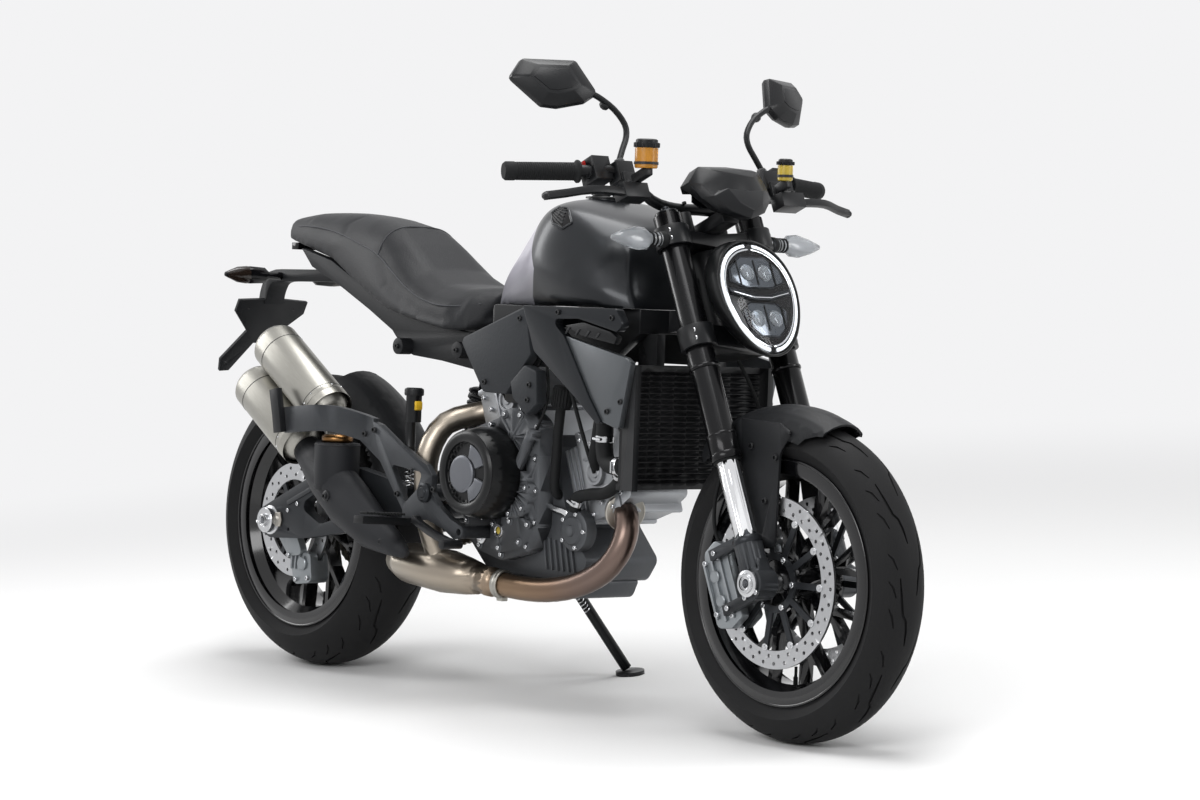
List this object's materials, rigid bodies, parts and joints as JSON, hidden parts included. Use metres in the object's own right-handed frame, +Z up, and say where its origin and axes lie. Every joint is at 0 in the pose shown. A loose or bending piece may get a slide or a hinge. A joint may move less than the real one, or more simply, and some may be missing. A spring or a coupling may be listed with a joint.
{
  "type": "standard motorcycle",
  "caption": "Naked standard motorcycle parked on its side stand: open V engine, stacked silencers, upright fork with round lamp, turning wheels, steering, folding stand and hinged fuel cap.",
  "frame": {"origin": "on the road under the middle of the parked machine's bounding box", "axes": "+X forward along the machine, +Y to its left, +Z up from the road; the machine leans to its left on the side stand"},
  "size_m": [2.1135, 0.8378, 1.2975],
  "materials": {
    "black_frame": "satin black paint",
    "dark_plastic": "fine grained black plastic",
    "engine_grey": "cast, dark grey coat",
    "head_grey": "bare cast metal",
    "clutch_black": "satin black coat",
    "radiator_black": "matte black coat",
    "tank_paint": "satin dark grey paint",
    "panel_paint": "satin dark grey paint",
    "intake_paint": "satin mid grey paint",
    "cover_grain": "grained dark grey plastic",
    "seat_cover": "charcoal synthetic leather",
    "lamp_black": "dark smoked lens",
    "arm_grey": "dark grey coat",
    "bright_steel": "bare steel",
    "chain_steel": "oiled steel",
    "stainless": "brushed stainless steel",
    "header_steel": "heat tinted stainless steel",
    "shield_black": "matte heat paint",
    "stand_black": "black paint",
    "fork_black": "black anodised",
    "fork_chrome": "hard chrome",
    "caliper_grey": "light grey anodised",
    "lens_clear": "clear lens",
    "screen_black": "black plastic",
    "bar_black": "satin black",
    "grip_rubber": "moulded rubber",
    "reservoir_amber": "amber fluid cup",
    "indicator_clear": "clear lens",
    "tyre_rubber": "black rubber",
    "rim_black": "gloss black",
    "disc_steel": "ground steel"
  },
  "bodies": {
    "frame": {"front_frame": "black_frame", "rear_subframe": "dark_plastic", "crankcase": "engine_grey", "engine_covers": "engine_grey", "clutch_cover": "clutch_black", "cylinders": "head_grey", "coolant_hoses": "grip_rubber", "radiator": "radiator_black", "fuel_tank": "tank_paint", "side_panels": "panel_paint", "intake_panels": "intake_paint", "frame_covers": "cover_grain", "seat": "seat_cover", "plate_hanger": "dark_plastic", "rear_lights": "lamp_black", "swingarm": "arm_grey", "rear_axle": "bright_steel", "chain": "chain_steel", "rear_hugger": "dark_plastic", "rear_caliper": "caliper_grey", "shock_absorber": "stand_black", "exhaust_pipes": "header_steel", "silencers": "stainless", "heat_shield": "shield_black", "foot_hangers": "arm_grey", "foot_controls": "stand_black"},
    "steering": {"triple_clamps": "bar_black", "fork_tubes": "fork_black", "fork_sliders": "fork_chrome", "fork_bottoms": "arm_grey", "front_axle": "bright_steel", "front_calipers": "caliper_grey", "front_fender": "dark_plastic", "headlamp_shell": "clutch_black", "headlamp_lens": "lens_clear", "instrument": "screen_black", "handlebar": "bar_black", "grips": "grip_rubber", "hand_controls": "bar_black", "fluid_reservoirs": "reservoir_amber", "mirrors": "bar_black", "front_indicators": "indicator_clear"},
    "front_wheel": {"front_tyre": "tyre_rubber", "front_rim": "rim_black", "front_discs": "disc_steel"},
    "rear_wheel": {"rear_tyre": "tyre_rubber", "rear_rim": "rim_black", "rear_disc": "disc_steel", "rear_sprocket": "chain_steel"},
    "side_stand": {"side_stand": "stand_black"},
    "fuel_cap": {"fuel_cap": "clutch_black"}
  },
  "joints": [
    {"name": "steering", "type": "hinge", "parent": "frame", "child": "steering", "pos_m": [0.5338, -0.03527, 0.72553], "axis": [-0.3953, 0.1278, 0.9096], "range_deg": [-32, 32]},
    {"name": "front_wheel_spin", "type": "hinge", "parent": "steering", "child": "front_wheel", "pos_m": [0.75677, -0.09539, 0.29768], "axis": [0, 0.9903, -0.1392], "continuous": true},
    {"name": "rear_wheel_spin", "type": "hinge", "parent": "frame", "child": "rear_wheel", "pos_m": [-0.73529, -0.0933, 0.31286], "axis": [0, 0.9903, -0.1392], "continuous": true},
    {"name": "side_stand_fold", "type": "hinge", "parent": "frame", "child": "side_stand", "pos_m": [-0.08531, 0.02072, 0.23307], "axis": [0.0001, 0.8988, 0.4384], "range_deg": [0, 98]},
    {"name": "fuel_cap_lid", "type": "hinge", "parent": "frame", "child": "fuel_cap", "pos_m": [0.20986, 0.00475, 1.0103], "axis": [0, 0.9903, -0.1392], "range_deg": [0, 85]}
  ]
}
